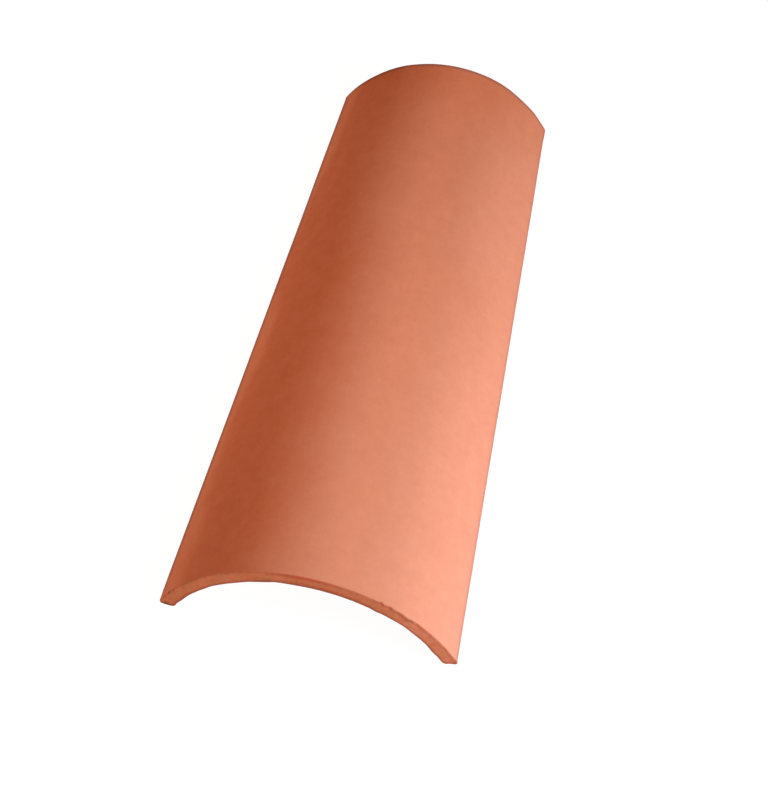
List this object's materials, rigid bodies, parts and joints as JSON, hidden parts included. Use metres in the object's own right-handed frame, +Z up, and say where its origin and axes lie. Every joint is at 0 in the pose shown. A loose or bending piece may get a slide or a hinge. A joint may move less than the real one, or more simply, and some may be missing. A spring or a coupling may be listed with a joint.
{
  "type": "clay roof tile",
  "caption": "Tapered half-barrel clay cover tile: an arched wall, wide at the nose and narrow at the head, for lapping up a roof slope.",
  "frame": {"origin": "on the surface that the tile lies on, below the middle of its box", "axes": "+Y along the tile from the wide nose to the narrow head, +Z up through the crown of the arch, +X across the tile"},
  "size_m": [0.21, 0.5, 0.0725],
  "materials": {
    "fired_clay": "matte"
  },
  "bodies": {
    "root": {"barrel_tile": "fired_clay"}
  },
  "joints": []
}
